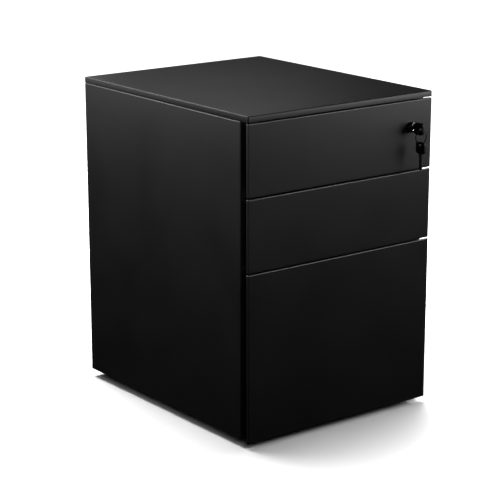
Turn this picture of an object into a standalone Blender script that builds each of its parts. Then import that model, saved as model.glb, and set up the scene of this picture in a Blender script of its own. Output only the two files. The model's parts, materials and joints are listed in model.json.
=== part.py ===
"""Rolling pedestal cabinet: a steel carcase on four hidden casters, three full-width drawers on
telescopic slides, and a central lock in the top drawer with two keys on a split ring.

The origin is on the floor, in the middle of the bounding box. +Z is up and the drawers face -Y.
Heights are above the floor. Depths called "back" are measured backwards from the drawers' front plane.
"""

import math
from collections import namedtuple

import bmesh
import bpy
from mathutils import Matrix, Vector

# Driving dimensions, in metres
WIDTH = 0.410
DEPTH = 0.498
HEIGHT = 0.583
GAP = 0.0003
SHEET = 0.0010
STEEL = 0.0012

TOP_THICKNESS = 0.0105
TOP_ROUND = 0.0012
CARCASE_BOTTOM = 0.015
CARCASE_BACK = 0.0215
FLANGE_X = 0.184

PAN_DEPTH = 0.0063
PAN_LIP = 0.032
INNER_X = 0.180
INNER_BACK = 0.0230
INNER_EDGE = 0.008

BOX_X = 0.172
BOX_LENGTH = 0.450
BASE_TOP = 0.0572
BASE_SKIRT = 0.022
BASE_FRONT_BACK = 0.0250

POST_X = 0.185
POST_WIDTH = 0.0315
FRONT_POST_BACK = 0.0305
REAR_POST_BACK = 0.4395

SLIDE_BACK = 0.032
SLIDE_LENGTH = 0.440

Channel = namedtuple("Channel", "web_x lip_x half_height")
OUTER = Channel(0.1846, 0.1755, 0.0225)
MIDDLE = Channel(0.1828, 0.1750, 0.0198)
INNER = Channel(0.1723, 0.1806, 0.0168)

Drawer = namedtuple("Drawer", "number bottom top box_bottom box_top slide_height catch_height")
DRAWERS = (
    Drawer(1, 0.4465, 0.5694, 0.458, 0.540, 0.482, 0.506),
    Drawer(2, 0.3165, 0.4426, 0.328, 0.410, 0.352, 0.376),
    Drawer(3, 0.0100, 0.3127, 0.066, 0.280, 0.150, 0.175),
)
CATCH_SIZE = Vector((0.0072, 0.0020, 0.0070))
CATCH_BACK = 0.0318

LOCK_X = 0.155
LOCK_HEIGHT = 0.523
LOCK_STEPS = 32
ROSETTE_RADIUS = 0.0100
ROSETTE_REACH = 0.0080
ROSETTE_LIP = 0.0018
ROSETTE_SLOPE = (0.0006, 0.0030)
ROSETTE_SHOULDER = 0.0045
BARREL_RADIUS = 0.0080
BARREL_BACK = 0.0246
PLUG_RADIUS = 0.0055
PLUG_STUB_RADIUS = 0.0032
PLUG_BACK = 0.0276
PLUG_SET_IN = 0.0005
KEYWAY_PLAY = 0.0010
NUT_RADIUS = 0.0120
NUT_THICKNESS = 0.0040
CAM_BACK = 0.0249
CAM_THICKNESS = 0.0020
CAM_LENGTH = 0.032
CAM_HALF_WIDTH = 0.003
CAM_ROOT = 0.003
NOTCH_REACH = 0.0125
CUT_EXTRA = 0.0020

BAR_X = (0.188, 0.200)
BAR_BACK = 0.0250
BAR_THICKNESS = 0.0030
BAR_HEIGHTS = (0.105, 0.550)
BAR_TOOTH_X = 0.174
BAR_TOOTH_LIFT = 0.0085
BAR_TOOTH_HEIGHT = 0.0095
BAR_CAM_TOOTH_TOP = 0.5277
BAR_TRAVEL = 0.008
RIVET_HEIGHTS = (0.230, 0.460)
RIVET_RADIUS = 0.003
RIVET_FLANGE = 0.002
RIVET_HEAD = 0.0014

KEY_HEAD_HALF = 0.011
KEY_HEAD_CORNER = 0.006
KEY_HEAD_THICKNESS = 0.0046
KEY_HEAD_FRONT = 0.011
KEY_THICKNESS = 0.0022
KEY_BLADE_HALF = 0.0038
KEY_BLADE_LENGTH = 0.0300
KEY_BLADE_IN_HEAD = 0.0103
KEY_HOLE_RADIUS = 0.0030
KEY_HOLE_OFFSET = 0.0055
KEY_TIP_CHAMFER = 0.002
KEY_CUT_START = 0.003
KEY_CUT_PITCH = 0.004
KEY_CUT_DEPTH = 0.0012
KEY_CUT_COUNT = 4
RING_RADIUS = 0.0122
RING_WIRE = 0.0009
RING_PLAY = 0.0006

CASTER_X = 0.150
CASTER_BACKS = {"front": 0.080, "rear": 0.430}
WHEEL_RADIUS = 0.020
WHEEL_INNER = 0.005
WHEEL_OUTER = 0.013
WHEEL_CHAMFER = 0.0015
AXLE_RADIUS = 0.003
TRAIL = 0.015
HOOD_RADIUS = 0.0245
HOOD_THICKNESS = 0.0025
HOOD_HALF_WIDTH = 0.0145
HOOD_ANGLES = (-5, 165)
AXLE_WALL = 0.004
RIB_HALF_WIDTH = 0.0040
BOSS_RADIUS = 0.009
BOSS_TOP = 0.050
BOSS_BOTTOM = 0.040
NECK_BOTTOM = 0.030
NECK_INSET = 0.001
SOCKET_BOTTOM = 0.041
STEM_BOTTOM = 0.042
STEM_RADIUS = 0.004
PLATE_HALF = 0.021
PLATE_THICKNESS = 0.0025

WEIGHT_HALF_WIDTH = 0.150
WEIGHT_BACK = 0.4760
WEIGHT_DEPTH = 0.018
WEIGHT_HEIGHT = 0.095

RAIL_X = 0.1665
RAIL_THICKNESS = 0.0025
RAIL_HEIGHT = 0.014
RAIL_TOP = 0.277

# Worked out from the dimensions above
RING_FRONT = KEY_HEAD_FRONT + KEY_HEAD_HALF + KEY_HOLE_OFFSET
KEY_REACH = RING_FRONT + KEY_HEAD_HALF
FRONT_Y = (KEY_REACH - DEPTH) / 2
TOP_UNDERSIDE = HEIGHT - TOP_THICKNESS
CARCASE_TOP = TOP_UNDERSIDE - GAP
CARCASE_Y = (FRONT_Y + CARCASE_BACK, FRONT_Y + DEPTH)
BOX_BACK = INNER_BACK + GAP
PLATE_TOP = BASE_TOP - STEEL - GAP
HANG_SLACK = KEY_HOLE_RADIUS - RING_WIRE - RING_PLAY
RING_TOP = LOCK_HEIGHT - HANG_SLACK
RING_BOTTOM = RING_TOP - 2 * RING_RADIUS
SPARE_HOLE_HEIGHT = RING_BOTTOM - HANG_SLACK

BLACK_PAINT = ((0.012, 0.012, 0.013), 0.45, 0.0)
ZINC_STEEL = ((0.55, 0.56, 0.58), 0.38, 1.0)
BLACK_PLASTIC = ((0.010, 0.010, 0.011), 0.50, 0.0)
TREAD = ((0.020, 0.020, 0.021), 0.70, 0.0)
BLACK_NICKEL = ((0.050, 0.050, 0.055), 0.20, 1.0)
KEY_STEEL = ((0.24, 0.24, 0.25), 0.30, 1.0)
CAST_IRON = ((0.080, 0.078, 0.075), 0.75, 0.6)


def clear_scene():
    """Removes every object that the new file starts with."""
    for old in list(bpy.data.objects):
        bpy.data.objects.remove(old)


def new_collection(name):
    """A collection in the scene."""
    collection = bpy.data.collections.new(name)
    bpy.context.scene.collection.children.link(collection)
    return collection


def finish_material(name, finish):
    """A Principled material from a colour, a roughness and a metallic value."""
    colour, roughness, metallic = finish
    material = bpy.data.materials.new(name + "_finish")
    material.use_nodes = True
    shader = material.node_tree.nodes["Principled BSDF"]
    shader.inputs["Base Color"].default_value = (*colour, 1.0)
    shader.inputs["Roughness"].default_value = roughness
    shader.inputs["Metallic"].default_value = metallic
    return material


def add_part(name, mesh, finish):
    """A sub-part of the cabinet with its own material."""
    part = bpy.data.objects.new(name, mesh)
    part.data.materials.append(finish_material(name, finish))
    PARTS.objects.link(part)
    return part


def add_cutter(name, mesh):
    """A solid that only shapes other parts."""
    cutter = bpy.data.objects.new(name, mesh)
    cutter.hide_render = True
    cutter.display_type = "WIRE"
    CUTTERS.objects.link(cutter)
    return cutter


def mesh_from(bm, name):
    """Turns a bmesh into a mesh whose faces point out."""
    mesh = bpy.data.meshes.new(name)
    bm.to_mesh(mesh)
    bm.free()
    return mesh


def box_bmesh(low, high):
    """A box between two corners."""
    low = Vector(low)
    high = Vector(high)
    size = high - low
    bm = bmesh.new()
    place = Matrix.Translation((low + high) / 2) @ Matrix.Diagonal((*size, 1.0))
    bmesh.ops.create_cube(bm, size=1.0, matrix=place)
    return bm


def box_mesh(name, low, high):
    """The mesh of a box between two corners."""
    return mesh_from(box_bmesh(low, high), name)


def faces_towards(bm, direction):
    """The faces whose normals point along a direction."""
    direction = Vector(direction)
    bm.normal_update()
    return [face for face in bm.faces if face.normal.dot(direction) > 0.9]


def open_box_bmesh(low, high, *open_sides):
    """A box without the faces that point along the given directions."""
    bm = box_bmesh(low, high)
    for side in open_sides:
        bmesh.ops.delete(bm, geom=faces_towards(bm, side), context="FACES_ONLY")
    return bm


def thicken(part, thickness):
    """Gives an open surface a sheet's thickness on its inner side."""
    solidify = part.modifiers.new("sheet", "SOLIDIFY")
    solidify.thickness = thickness
    solidify.offset = -1.0
    solidify.use_even_offset = True


def combine(part, other, operation):
    """Cuts a part with another solid, or joins that solid to it."""
    boolean = part.modifiers.new(other.name, "BOOLEAN")
    boolean.operation = operation
    boolean.solver = "EXACT"
    boolean.object = other


def smooth(mesh, degrees=35):
    """Smooth shading with sharp edges kept."""
    mesh.shade_smooth()
    mesh.set_sharp_from_angle(angle=math.radians(degrees))


def solid_box(name, low, high, finish):
    """A part that is a plain block."""
    return add_part(name, box_mesh(name, low, high), finish)


def cylinder_mesh(name, radius, length, place, segments):
    """A capped cylinder centred on its own axis, then placed."""
    bm = bmesh.new()
    bmesh.ops.create_cone(
        bm, cap_ends=True, segments=segments, radius1=radius, radius2=radius, depth=length, matrix=place
    )
    mesh = mesh_from(bm, name)
    smooth(mesh)
    return mesh


def along_y(x, y_start, y_end, z):
    """The placement and the length of something round that runs along Y."""
    middle = Matrix.Translation((x, (y_start + y_end) / 2, z))
    return middle @ Matrix.Rotation(math.radians(90), 4, "X"), y_end - y_start


def y_cylinder_mesh(name, radius, x, y_start, y_end, z, segments=LOCK_STEPS):
    """A cylinder along Y."""
    place, length = along_y(x, y_start, y_end, z)
    return cylinder_mesh(name, radius, length, place, segments)


def upright_cylinder_mesh(name, radius, x, y, bottom, top, segments=16):
    """A cylinder along Z."""
    place = Matrix.Translation((x, y, (bottom + top) / 2))
    return cylinder_mesh(name, radius, top - bottom, place, segments)


def turned_mesh(name, profile, steps):
    """A solid of revolution about Z from (radius, height) points, top to bottom on its outer side."""
    bm = bmesh.new()
    points = [bm.verts.new((radius, 0.0, height)) for radius, height in profile]
    for above, below in zip(points, points[1:]):
        bm.edges.new((above, below))
    outline = bpy.data.objects.new(name + "_profile", mesh_from(bm, name + "_profile"))
    bpy.context.scene.collection.objects.link(outline)
    screw = outline.modifiers.new("turn", "SCREW")
    screw.axis = "Z"
    screw.angle = math.radians(360)
    screw.steps = steps
    screw.render_steps = steps
    screw.use_merge_vertices = True
    screw.merge_threshold = 0.00005
    screw.use_smooth_shade = False
    return take_mesh(outline, name)


def take_mesh(source, name):
    """The evaluated mesh of an object, welded, in place of the object itself."""
    evaluated = source.evaluated_get(bpy.context.evaluated_depsgraph_get())
    mesh = bpy.data.meshes.new_from_object(evaluated)
    mesh.transform(source.matrix_world)
    mesh.name = name
    bm = bmesh.new()
    bm.from_mesh(mesh)
    bmesh.ops.remove_doubles(bm, verts=bm.verts, dist=0.00001)
    bmesh.ops.recalc_face_normals(bm, faces=bm.faces)
    bm.to_mesh(mesh)
    bm.free()
    bpy.data.objects.remove(source)
    return mesh


def flat_mesh(name, outlines, thickness):
    """A plate in the XY plane from closed outlines. An outline inside another one is a hole."""
    curve = bpy.data.curves.new(name, "CURVE")
    curve.dimensions = "2D"
    curve.fill_mode = "BOTH"
    curve.extrude = thickness / 2
    for outline in outlines:
        spline = curve.splines.new("POLY")
        spline.points.add(len(outline) - 1)
        for point, (x, y) in zip(spline.points, outline):
            point.co = (x, y, 0.0, 1.0)
        spline.use_cyclic_u = True
    plate = bpy.data.objects.new(name, curve)
    bpy.context.scene.collection.objects.link(plate)
    bpy.context.view_layer.update()
    return take_mesh(plate, name)


def arc(centre, radius, start, end, steps):
    """Points along an arc, both ends included. Angles are in degrees."""
    points = []
    for step in range(steps + 1):
        angle = math.radians(start + (end - start) * step / steps)
        points.append((centre[0] + radius * math.cos(angle), centre[1] + radius * math.sin(angle)))
    return points


def circle(centre, radius, steps):
    """Points around a whole circle."""
    return arc(centre, radius, 0, 360, steps)[:-1]


def to_xz(y, x=0.0, z=0.0):
    """Places a plate's own X and Y along world X and Z, at a given y."""
    return Matrix.Translation((x, y, z)) @ Matrix.Rotation(math.radians(90), 4, "X")


def to_yz(x, y=0.0, z=0.0):
    """Places a plate's own X and Y along world Y and Z, at a given x."""
    turned = Matrix(((0, 0, 1, 0), (1, 0, 0, 0), (0, 1, 0, 0), (0, 0, 0, 1)))
    return Matrix.Translation((x, y, z)) @ turned


def back(distance):
    """The world y of a depth measured back from the drawers' front plane."""
    return FRONT_Y + distance


def parent_to(empty, *parts):
    """Hangs parts on an empty without moving them."""
    for part in parts:
        part.parent = empty
        part.matrix_parent_inverse = empty.matrix_basis.inverted()


def pivot(name, location):
    """An empty on a joint's axis."""
    empty = bpy.data.objects.new(name, None)
    empty.location = location
    empty.empty_display_size = 0.02
    PARTS.objects.link(empty)
    return empty


# The carcase


def build_wrap():
    """One folded sheet: both sides, the back, and a narrow flange inwards at each front edge."""
    half = WIDTH / 2
    low = (-half, CARCASE_Y[0], CARCASE_BOTTOM)
    high = (half, CARCASE_Y[1], CARCASE_TOP)
    bm = open_box_bmesh(low, high, (0, 0, 1), (0, 0, -1))
    front = faces_towards(bm, (0, -1, 0))
    edges = list({edge for face in front for edge in face.edges})
    for side in (-1, 1):
        bmesh.ops.bisect_plane(
            bm, geom=front + edges, plane_co=(side * FLANGE_X, 0, 0), plane_no=(1, 0, 0)
        )
        front = faces_towards(bm, (0, -1, 0))
        edges = list({edge for face in front for edge in face.edges})
    middle = [face for face in front if abs(face.calc_center_median().x) < FLANGE_X / 2]
    bmesh.ops.delete(bm, geom=middle, context="FACES")
    wrap = add_part("cabinet_wrap", mesh_from(bm, "cabinet_wrap"), BLACK_PAINT)
    thicken(wrap, SHEET)


def build_top():
    """The top: a folded steel tray upside down, flush with the sides and the drawer fronts."""
    half = WIDTH / 2
    low = (-half, FRONT_Y, TOP_UNDERSIDE)
    high = (half, back(DEPTH), HEIGHT)
    bm = open_box_bmesh(low, high, (0, 0, -1))
    folds = [edge for edge in bm.edges if not edge.is_boundary]
    bmesh.ops.bevel(
        bm, geom=folds, offset=TOP_ROUND, offset_type="OFFSET", segments=2, profile=0.5,
        affect="EDGES", clamp_overlap=True,
    )
    top = add_part("top_plate", mesh_from(bm, "top_plate"), BLACK_PAINT)
    thicken(top, STEEL)


def build_base():
    """The floor pan inside the carcase, folded down all round, which the casters are fixed under."""
    half = WIDTH / 2 - SHEET - GAP
    low = (-half, back(BASE_FRONT_BACK), BASE_TOP - BASE_SKIRT)
    high = (half, CARCASE_Y[1] - SHEET - GAP, BASE_TOP)
    bm = open_box_bmesh(low, high, (0, 0, -1))
    base = add_part("base_pan", mesh_from(bm, "base_pan"), BLACK_PAINT)
    thicken(base, STEEL)


def build_posts():
    """Four upright channels inside the side walls, which carry the slides."""
    side_x = WIDTH / 2 - SHEET - GAP
    for place, post_back in (("front", FRONT_POST_BACK), ("rear", REAR_POST_BACK)):
        for side_name, side in (("left", -1), ("right", 1)):
            name = f"slide_post_{place}_{side_name}"
            xs = sorted((side * POST_X, side * side_x))
            low = (xs[0], back(post_back), BASE_TOP + GAP)
            high = (xs[1], back(post_back + POST_WIDTH), CARCASE_TOP - GAP)
            bm = open_box_bmesh(low, high, (side, 0, 0), (0, 0, 1), (0, 0, -1))
            post = add_part(name, mesh_from(bm, name), ZINC_STEEL)
            thicken(post, STEEL)


def build_counterweight():
    """An iron block low at the back, which keeps the cabinet from tipping when a drawer is open."""
    low = (-WEIGHT_HALF_WIDTH, back(WEIGHT_BACK), BASE_TOP + GAP)
    high = (WEIGHT_HALF_WIDTH, back(WEIGHT_BACK + WEIGHT_DEPTH), BASE_TOP + GAP + WEIGHT_HEIGHT)
    solid_box("counterweight", low, high, CAST_IRON)


# The drawers


def channel_member(name, channel, side, height, open_outwards):
    """One C-shaped member of a slide, along Y."""
    xs = sorted((side * channel.web_x, side * channel.lip_x))
    low = (xs[0], back(SLIDE_BACK), height - channel.half_height)
    high = (xs[1], back(SLIDE_BACK + SLIDE_LENGTH), height + channel.half_height)
    open_side = side if open_outwards else -side
    bm = open_box_bmesh(low, high, (open_side, 0, 0), (0, 1, 0), (0, -1, 0))
    member = add_part(name, mesh_from(bm, name), ZINC_STEEL)
    thicken(member, STEEL)
    return member


def build_slides(drawer):
    """Two three-part telescopic slides. Returns the members that move half way, then all the way."""
    half_way = []
    all_the_way = []
    for side_name, side in (("left", -1), ("right", 1)):
        stem = f"drawer_{drawer.number}_slide_{side_name}"
        channel_member(stem + "_outer", OUTER, side, drawer.slide_height, False)
        half_way.append(channel_member(stem + "_middle", MIDDLE, side, drawer.slide_height, False))
        all_the_way.append(channel_member(stem + "_inner", INNER, side, drawer.slide_height, True))
    return half_way, all_the_way


def build_front(drawer):
    """The visible drawer front: a shallow folded pan with a lip turned in behind all round."""
    name = f"drawer_{drawer.number}_front"
    half = WIDTH / 2
    bm = box_bmesh((-half, FRONT_Y, drawer.bottom), (half, back(PAN_DEPTH), drawer.top))
    rear = faces_towards(bm, (0, 1, 0))
    bmesh.ops.inset_region(bm, faces=rear, thickness=PAN_LIP, use_even_offset=True)
    bmesh.ops.delete(bm, geom=rear, context="FACES")
    front = add_part(name, mesh_from(bm, name), BLACK_PAINT)
    thicken(front, SHEET)
    return front


def build_inner_front(drawer):
    """The narrower tray that stands the front off from the carcase and leaves the grip channels."""
    name = f"drawer_{drawer.number}_inner_front"
    low = (-INNER_X, back(PAN_DEPTH + GAP), drawer.bottom + INNER_EDGE)
    high = (INNER_X, back(INNER_BACK), drawer.top - INNER_EDGE)
    bm = open_box_bmesh(low, high, (0, -1, 0))
    tray = add_part(name, mesh_from(bm, name), BLACK_PAINT)
    thicken(tray, SHEET)
    return tray


def build_box(drawer):
    """The drawer box, open at the top, with the catch for the lock bar folded out of its side."""
    name = f"drawer_{drawer.number}_box"
    low = (-BOX_X, back(BOX_BACK), drawer.box_bottom)
    high = (BOX_X, back(BOX_BACK + BOX_LENGTH), drawer.box_top)
    bm = open_box_bmesh(low, high, (0, 0, 1))
    box = add_part(name, mesh_from(bm, name), BLACK_PAINT)
    thicken(box, SHEET)
    catch_low = Vector((BOX_X - SHEET / 2, back(CATCH_BACK), drawer.catch_height))
    catch = add_cutter(name + "_catch", box_mesh("catch", catch_low, catch_low + CATCH_SIZE))
    combine(box, catch, "UNION")
    return box


def build_file_rails(drawer):
    """Two strips inside the deep drawer that hanging folders hook over."""
    rails = []
    y_start = back(BOX_BACK + SHEET + GAP)
    y_end = back(BOX_BACK + BOX_LENGTH - SHEET - GAP)
    for side_name, side in (("left", -1), ("right", 1)):
        xs = sorted((side * RAIL_X, side * (RAIL_X + RAIL_THICKNESS)))
        low = (xs[0], y_start, RAIL_TOP - RAIL_HEIGHT)
        high = (xs[1], y_end, RAIL_TOP)
        rails.append(solid_box(f"drawer_{drawer.number}_file_rail_{side_name}", low, high, ZINC_STEEL))
    return rails


def build_drawer(drawer):
    """A whole drawer with its slides, on an empty at its joint."""
    half_way, moving = build_slides(drawer)
    front = build_front(drawer)
    tray = build_inner_front(drawer)
    box = build_box(drawer)
    moving += [front, tray, box]
    if drawer.number == len(DRAWERS):
        moving += build_file_rails(drawer)
    if drawer.number == 1:
        cut_lock_holes(front, tray, box)
    origin = (0.0, FRONT_Y, drawer.slide_height)
    empty = pivot(f"drawer_{drawer.number}", origin)
    parent_to(empty, *moving)
    parent_to(pivot(f"drawer_{drawer.number}_slide_middles", origin), *half_way)
    return empty


# The lock


def cut_lock_holes(front, tray, box):
    """A round hole for the barrel through the front, and a notch in the box's corner for the cam."""
    ends = (back(-CUT_EXTRA), back(BARREL_BACK + CUT_EXTRA))
    hole_mesh = y_cylinder_mesh("lock_hole", BARREL_RADIUS + GAP, LOCK_X, *ends, LOCK_HEIGHT)
    hole = add_cutter("lock_hole", hole_mesh)
    for sheet in (front, tray):
        combine(sheet, hole, "DIFFERENCE")
    notch_low = (LOCK_X - NOTCH_REACH, back(BOX_BACK - CUT_EXTRA), LOCK_HEIGHT - NOTCH_REACH)
    notch_high = (BOX_X + CUT_EXTRA, back(CATCH_BACK - SHEET), DRAWERS[0].box_top + CUT_EXTRA)
    notch = add_cutter("lock_notch", box_mesh("lock_notch", notch_low, notch_high))
    combine(box, notch, "DIFFERENCE")


def turned_along_y(name, profile, finish):
    """A turned lock piece. Its profile heights are distances forwards from the front plane."""
    part = add_part(name, turned_mesh(name, profile, LOCK_STEPS), finish)
    smooth(part.data)
    part.location = (LOCK_X, FRONT_Y, LOCK_HEIGHT)
    part.rotation_euler = (math.radians(90), 0.0, 0.0)
    return part


def build_housing():
    """The lock's body: a domed rosette in front of the sheet and a barrel through it."""
    bore = PLUG_RADIUS + GAP
    profile = [
        (bore, ROSETTE_REACH),
        (bore + ROSETTE_LIP, ROSETTE_REACH),
        (ROSETTE_RADIUS - ROSETTE_SLOPE[0], ROSETTE_REACH - ROSETTE_SLOPE[1]),
        (ROSETTE_RADIUS, ROSETTE_REACH - ROSETTE_SHOULDER),
        (ROSETTE_RADIUS, GAP),
        (BARREL_RADIUS, GAP),
        (BARREL_RADIUS, -BARREL_BACK),
        (bore, -BARREL_BACK),
        (bore, ROSETTE_REACH),
    ]
    return turned_along_y("lock_housing", profile, BLACK_NICKEL)


def build_plug():
    """The part of the lock that the key turns, with a keyway from its front."""
    reach = ROSETTE_REACH - PLUG_SET_IN
    shoulder = CAM_BACK - GAP
    profile = [
        (0.0, reach),
        (PLUG_RADIUS, reach),
        (PLUG_RADIUS, -shoulder),
        (PLUG_STUB_RADIUS, -shoulder),
        (PLUG_STUB_RADIUS, -PLUG_BACK),
        (0.0, -PLUG_BACK),
    ]
    plug = turned_along_y("lock_plug", profile, BLACK_NICKEL)
    half_width = KEY_THICKNESS / 2 + GAP
    half_height = KEY_BLADE_HALF + GAP
    low = (LOCK_X - half_width, back(-reach - CUT_EXTRA), LOCK_HEIGHT - half_height)
    blade_end = KEY_BLADE_IN_HEAD + KEY_BLADE_LENGTH - KEY_HEAD_HALF - KEY_HEAD_FRONT
    high = (LOCK_X + half_width, back(blade_end + KEYWAY_PLAY), LOCK_HEIGHT + half_height)
    keyway = add_cutter("keyway", box_mesh("keyway", low, high))
    combine(plug, keyway, "DIFFERENCE")
    return plug


def build_nut():
    """The six-sided nut that clamps the housing to the front's sheet."""
    hexagon = circle((0.0, 0.0), NUT_RADIUS, 6)
    hole = circle((0.0, 0.0), BARREL_RADIUS + GAP, LOCK_STEPS)
    mesh = flat_mesh("lock_nut", [hexagon, hole], NUT_THICKNESS)
    nut = add_part("lock_nut", mesh, ZINC_STEEL)
    nut.matrix_world = to_xz(back(SHEET + GAP + NUT_THICKNESS / 2), LOCK_X, LOCK_HEIGHT)
    return nut


def build_cam():
    """The arm behind the lock. It points up when unlocked and to the right when locked."""
    root_radius = PLUG_STUB_RADIUS + CAM_ROOT
    outline = arc((0.0, 0.0), root_radius, 120, 420, 20)
    outline += arc((0.0, CAM_LENGTH - CAM_HALF_WIDTH), CAM_HALF_WIDTH, 0, 180, 8)
    hole = circle((0.0, 0.0), PLUG_STUB_RADIUS + GAP, 16)
    mesh = flat_mesh("lock_cam", [outline, hole], CAM_THICKNESS)
    cam = add_part("lock_cam", mesh, ZINC_STEEL)
    cam.matrix_world = to_xz(back(CAM_BACK + CAM_THICKNESS / 2), LOCK_X, LOCK_HEIGHT)
    return cam


def bar_outline():
    """The lock bar's flat shape: a strip with one tooth to the left above each drawer's catch."""
    outline = [(BAR_X[0], BAR_HEIGHTS[1]), (BAR_X[1], BAR_HEIGHTS[1])]
    outline += [(BAR_X[1], BAR_HEIGHTS[0]), (BAR_X[0], BAR_HEIGHTS[0])]
    for drawer in reversed(DRAWERS):
        tooth_bottom = drawer.catch_height + BAR_TOOTH_LIFT
        tooth_top = tooth_bottom + BAR_TOOTH_HEIGHT
        if drawer.number == 1:
            tooth_top = BAR_CAM_TOOTH_TOP
        outline += [(BAR_X[0], tooth_bottom), (BAR_TOOTH_X, tooth_bottom)]
        outline += [(BAR_TOOTH_X, tooth_top), (BAR_X[0], tooth_top)]
    return outline


def slot_outline(centre, half_width, travel):
    """A round-ended slot that lets a strip drop by its travel from the slot's lower end."""
    low = arc(centre, half_width, 180, 360, 8)
    high = arc((centre[0], centre[1] + travel), half_width, 0, 180, 8)
    return low + high


def build_lock_bar():
    """The bar that locks all drawers at once, held to the post by two shouldered rivets."""
    middle = (BAR_X[0] + BAR_X[1]) / 2
    slots = []
    for height in RIVET_HEIGHTS:
        slots.append(slot_outline((middle, height), RIVET_RADIUS + GAP, BAR_TRAVEL))
        build_rivet(middle, height)
    mesh = flat_mesh("lock_bar", [bar_outline(), *slots], BAR_THICKNESS)
    bar = add_part("lock_bar", mesh, ZINC_STEEL)
    bar.matrix_world = to_xz(back(BAR_BACK + BAR_THICKNESS / 2))
    bpy.context.view_layer.update()
    parent_to(pivot("lock_bar_pivot", (middle, back(BAR_BACK), BAR_HEIGHTS[0])), bar)


def build_rivet(x, height):
    """A shouldered rivet along Y: a flat head in front of the bar and a shank back to the post."""
    number = RIVET_HEIGHTS.index(height) + 1
    head_front = BAR_BACK - GAP - RIVET_HEAD
    shank = FRONT_POST_BACK - GAP - head_front
    profile = [
        (0.0, 0.0),
        (RIVET_RADIUS + RIVET_FLANGE, 0.0),
        (RIVET_RADIUS + RIVET_FLANGE, -RIVET_HEAD),
        (RIVET_RADIUS, -RIVET_HEAD),
        (RIVET_RADIUS, -shank),
        (0.0, -shank),
    ]
    rivet = add_part(f"lock_bar_rivet_{number}", turned_mesh("rivet", profile, 16), ZINC_STEEL)
    smooth(rivet.data)
    rivet.location = (x, back(head_front), height)
    rivet.rotation_euler = (math.radians(90), 0.0, 0.0)


def key_head_outline():
    """The moulded head seen flat, a square with round corners. The ring's hole is at the origin."""
    reach = KEY_HEAD_HALF - KEY_HEAD_CORNER
    corners = ((1, 1, 0), (-1, 1, 90), (-1, -1, 180), (1, -1, 270))
    outline = []
    for across, up, start in corners:
        centre = (KEY_HOLE_OFFSET + across * reach, up * reach)
        outline += arc(centre, KEY_HEAD_CORNER, start, start + 90, 5)
    return outline


def key_blade_outline():
    """The blade seen flat, from inside the head to its tip, with shallow cuts along one edge."""
    tip = KEY_HOLE_OFFSET + KEY_BLADE_IN_HEAD + KEY_BLADE_LENGTH
    start = KEY_HOLE_OFFSET + KEY_BLADE_IN_HEAD / 2
    outline = [(start, -KEY_BLADE_HALF), (tip - KEY_TIP_CHAMFER, -KEY_BLADE_HALF)]
    outline += [(tip, -KEY_BLADE_HALF / 2), (tip, KEY_BLADE_HALF / 2)]
    for number in range(KEY_CUT_COUNT):
        cut = tip - KEY_CUT_START - number * KEY_CUT_PITCH
        outline.append((cut, KEY_BLADE_HALF))
        outline.append((cut - KEY_CUT_PITCH / 2, KEY_BLADE_HALF - KEY_CUT_DEPTH))
    outline.append((tip - KEY_CUT_START - KEY_CUT_COUNT * KEY_CUT_PITCH, KEY_BLADE_HALF))
    outline.append((start, KEY_BLADE_HALF))
    return outline


def build_key(name, place):
    """A key: a thin blade in a thick head with a hole for the ring."""
    hole = circle((0.0, 0.0), KEY_HOLE_RADIUS, 16)
    head = flat_mesh(name, [key_head_outline(), hole], KEY_HEAD_THICKNESS)
    head.transform(place)
    key = add_part(name, head, KEY_STEEL)
    blade = flat_mesh(name + "_blade", [key_blade_outline()], KEY_THICKNESS)
    blade.transform(place)
    combine(key, add_cutter(name + "_blade", blade), "UNION")
    return key


def build_keys():
    """One key in the lock and one hanging below it on a split ring."""
    key = build_key("key_in_lock", to_yz(LOCK_X, back(-RING_FRONT), LOCK_HEIGHT))
    hanging = Matrix.Rotation(math.radians(-90), 4, "X") @ to_yz(0.0)
    spare_place = Matrix.Translation((LOCK_X, back(-RING_FRONT), SPARE_HOLE_HEIGHT))
    spare = build_key("key_spare", spare_place @ hanging)
    bpy.ops.mesh.primitive_torus_add(
        major_segments=32, minor_segments=8, major_radius=RING_RADIUS, minor_radius=RING_WIRE,
        location=(0.0, 0.0, 0.0),
    )
    torus = bpy.context.object
    mesh = torus.data
    bpy.data.objects.remove(torus)
    smooth(mesh, 60)
    ring = add_part("key_ring", mesh, BLACK_NICKEL)
    ring.location = (LOCK_X, back(-RING_FRONT), RING_TOP - RING_RADIUS)
    ring.rotation_euler = (math.radians(90), 0.0, 0.0)
    return key, ring, spare


def build_lock(drawer_empty):
    """The lock in the top drawer with its keys, each moving piece on an empty on its axis."""
    housing = build_housing()
    nut = build_nut()
    plug = build_plug()
    cam = build_cam()
    key, ring, spare = build_keys()
    bpy.context.view_layer.update()
    axis = (LOCK_X, FRONT_Y, LOCK_HEIGHT)
    plug_empty = pivot("lock_plug_pivot", axis)
    key_empty = pivot("key_in_lock_pivot", axis)
    hole = (LOCK_X, back(-RING_FRONT), RING_TOP)
    ring_empty = pivot("key_ring_pivot", hole)
    spare_empty = pivot("key_spare_pivot", (LOCK_X, back(-RING_FRONT), RING_TOP - RING_RADIUS))
    parent_to(drawer_empty, housing, nut, plug_empty)
    parent_to(plug_empty, plug, cam, key_empty)
    parent_to(key_empty, key, ring_empty)
    parent_to(ring_empty, ring, spare_empty)
    parent_to(spare_empty, spare)


# The casters


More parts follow.
